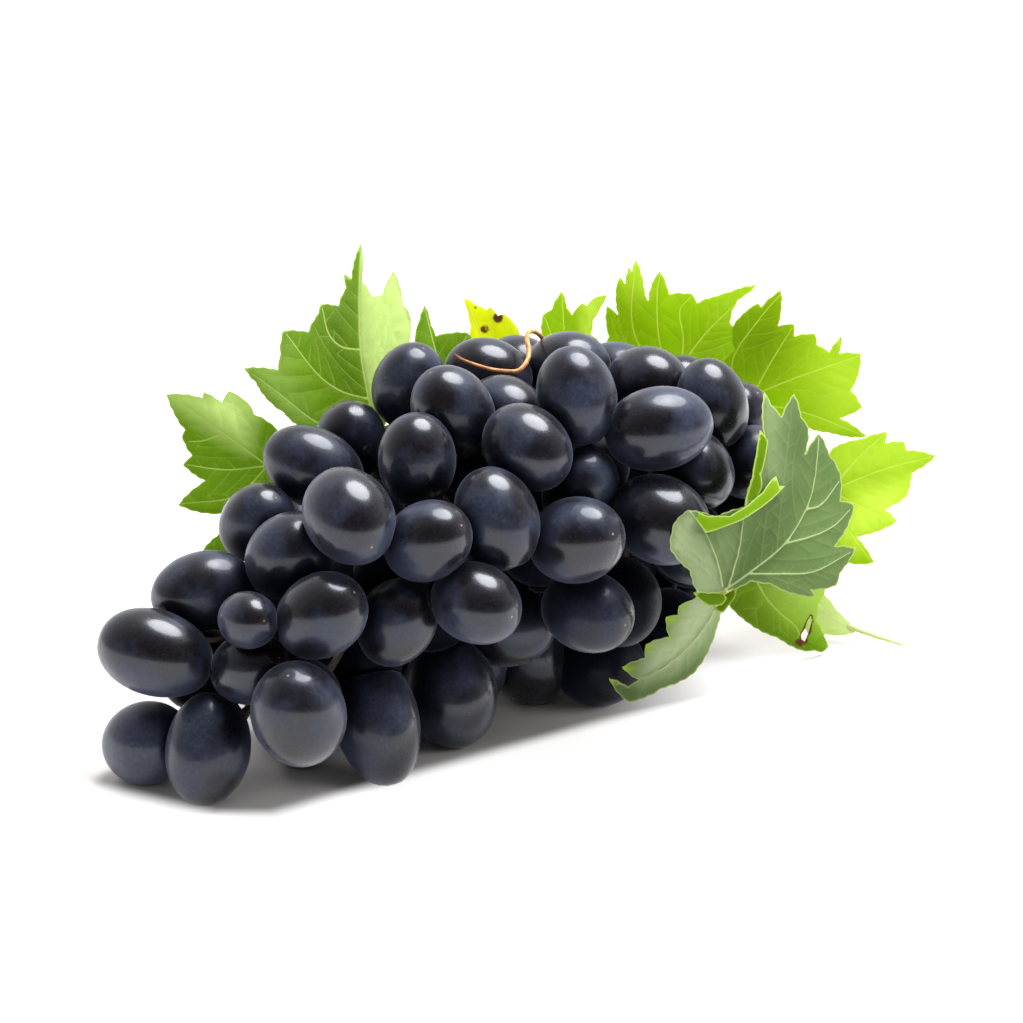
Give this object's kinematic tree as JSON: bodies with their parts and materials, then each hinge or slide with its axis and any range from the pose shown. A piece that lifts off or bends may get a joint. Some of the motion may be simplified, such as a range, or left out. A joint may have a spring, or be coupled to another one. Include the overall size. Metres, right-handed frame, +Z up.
{
  "type": "bunch of grapes",
  "caption": "Bunch of blue-black oval table grapes lying on its side, with lobed vine leaves, a trailing length of shoot and a curled tendril.",
  "frame": {"origin": "centre of the bounding box at the level of the surface that the bunch lies on", "axes": "+Z up from the surface, +X to the viewer's right along the bunch's longest way, +Y away from the viewer, towards the leaves behind"},
  "size_m": [0.21, 0.1697, 0.1064],
  "materials": {
    "berry_skin": "glossy dark skin under a patchy waxy bloom",
    "shoot_bark": "smooth ribbed bark",
    "tendril": "dry and smooth",
    "leaf_green": "satin leaf",
    "leaf_yellow": "satin yellowing leaf",
    "leaf_bright": "satin leaf, light through it",
    "leaf_grey": "matt downy underside"
  },
  "bodies": {
    "root": {"berries": "berry_skin", "shoot": "shoot_bark", "tendril": "tendril", "leaf_left": "leaf_green", "leaf_upper_left": "leaf_green", "leaf_top_left": "leaf_green", "leaf_top_yellow": "leaf_yellow", "leaf_top": "leaf_bright", "leaf_back": "leaf_bright", "leaf_back_right": "leaf_bright", "leaf_right": "leaf_bright", "leaf_front_right": "leaf_grey", "leaf_low_right": "leaf_green", "leaf_floor": "leaf_bright"}
  },
  "joints": []
}
